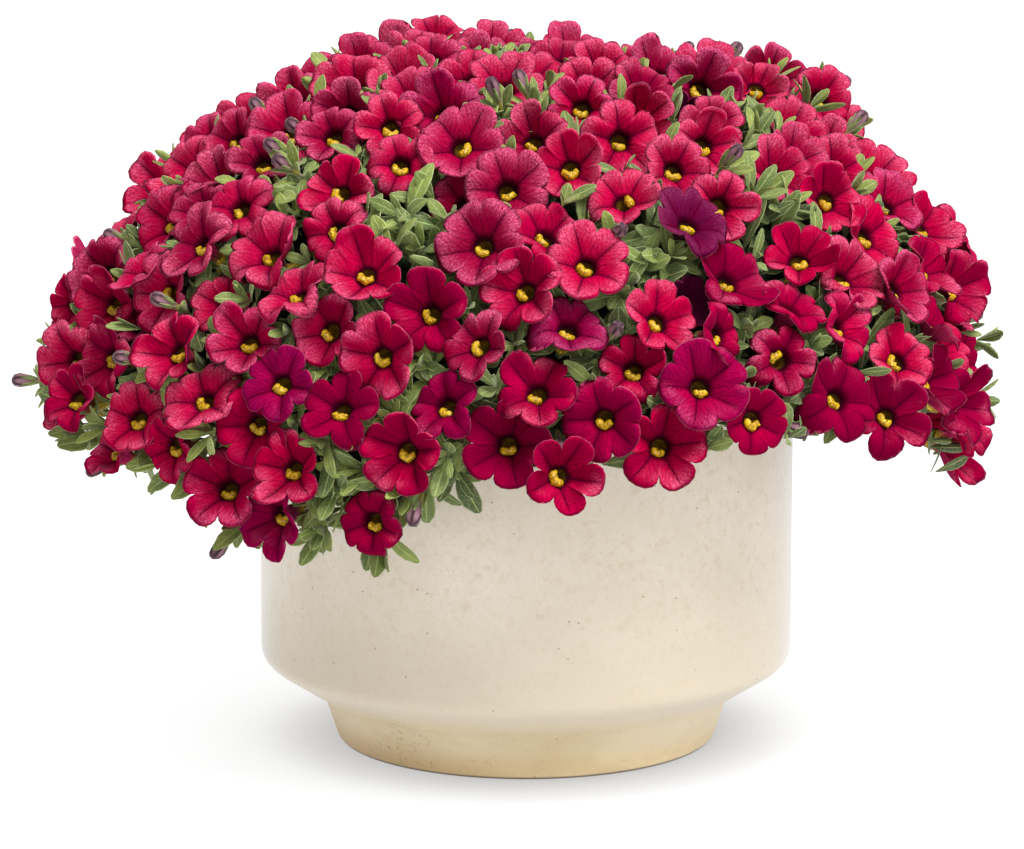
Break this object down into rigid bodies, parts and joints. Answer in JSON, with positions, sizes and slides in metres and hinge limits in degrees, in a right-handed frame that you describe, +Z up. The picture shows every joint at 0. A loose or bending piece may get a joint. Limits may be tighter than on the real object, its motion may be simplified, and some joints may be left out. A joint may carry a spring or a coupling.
{
  "type": "potted calibrachoa",
  "caption": "Potted calibrachoa: a domed, spreading mound of small crimson trumpet blooms and narrow leaves in a round cream stoneware pot with a tapered foot.",
  "frame": {"origin": "centre of the pot's flat underside, on the surface it stands on", "axes": "+Z up along the pot's axis; -Y is the front, over which the longest shoots hang; +X is to the right as seen from the front"},
  "size_m": [0.3726, 0.3464, 0.2699],
  "materials": {
    "stoneware": "satin cream glaze with fine brown speckles, and a warmer, drier tan foot",
    "potting_mix": "matt, crumbly dark brown potting mix of peat and bark",
    "foliage": "matt grey-green leaves with fine hairs, paler midribs and margins",
    "petals": "velvety crimson with darker veins and a yellow throat"
  },
  "bodies": {
    "root": {"pot": "stoneware", "soil": "potting_mix", "shoot_01": "foliage", "blooms_01": "petals", "shoot_02": "foliage", "blooms_02": "petals", "shoot_03": "foliage", "blooms_03": "petals", "shoot_04": "foliage", "blooms_04": "petals", "shoot_05": "foliage", "blooms_05": "petals", "shoot_06": "foliage", "blooms_06": "petals", "shoot_07": "foliage", "blooms_07": "petals", "shoot_08": "foliage", "blooms_08": "petals", "shoot_09": "foliage", "blooms_09": "petals", "shoot_10": "foliage", "blooms_10": "petals", "shoot_11": "foliage", "blooms_11": "petals", "shoot_12": "foliage", "blooms_12": "petals", "shoot_13": "foliage", "blooms_13": "petals", "shoot_14": "foliage", "blooms_14": "petals", "shoot_15": "foliage", "blooms_15": "petals", "shoot_16": "foliage", "blooms_16": "petals", "shoot_17": "foliage", "blooms_17": "petals", "shoot_18": "foliage", "blooms_18": "petals", "shoot_19": "foliage", "blooms_19": "petals", "shoot_20": "foliage", "blooms_20": "petals", "shoot_21": "foliage", "blooms_21": "petals", "shoot_22": "foliage", "blooms_22": "petals", "shoot_23": "foliage", "blooms_23": "petals", "shoot_24": "foliage", "blooms_24": "petals"}
  },
  "joints": []
}
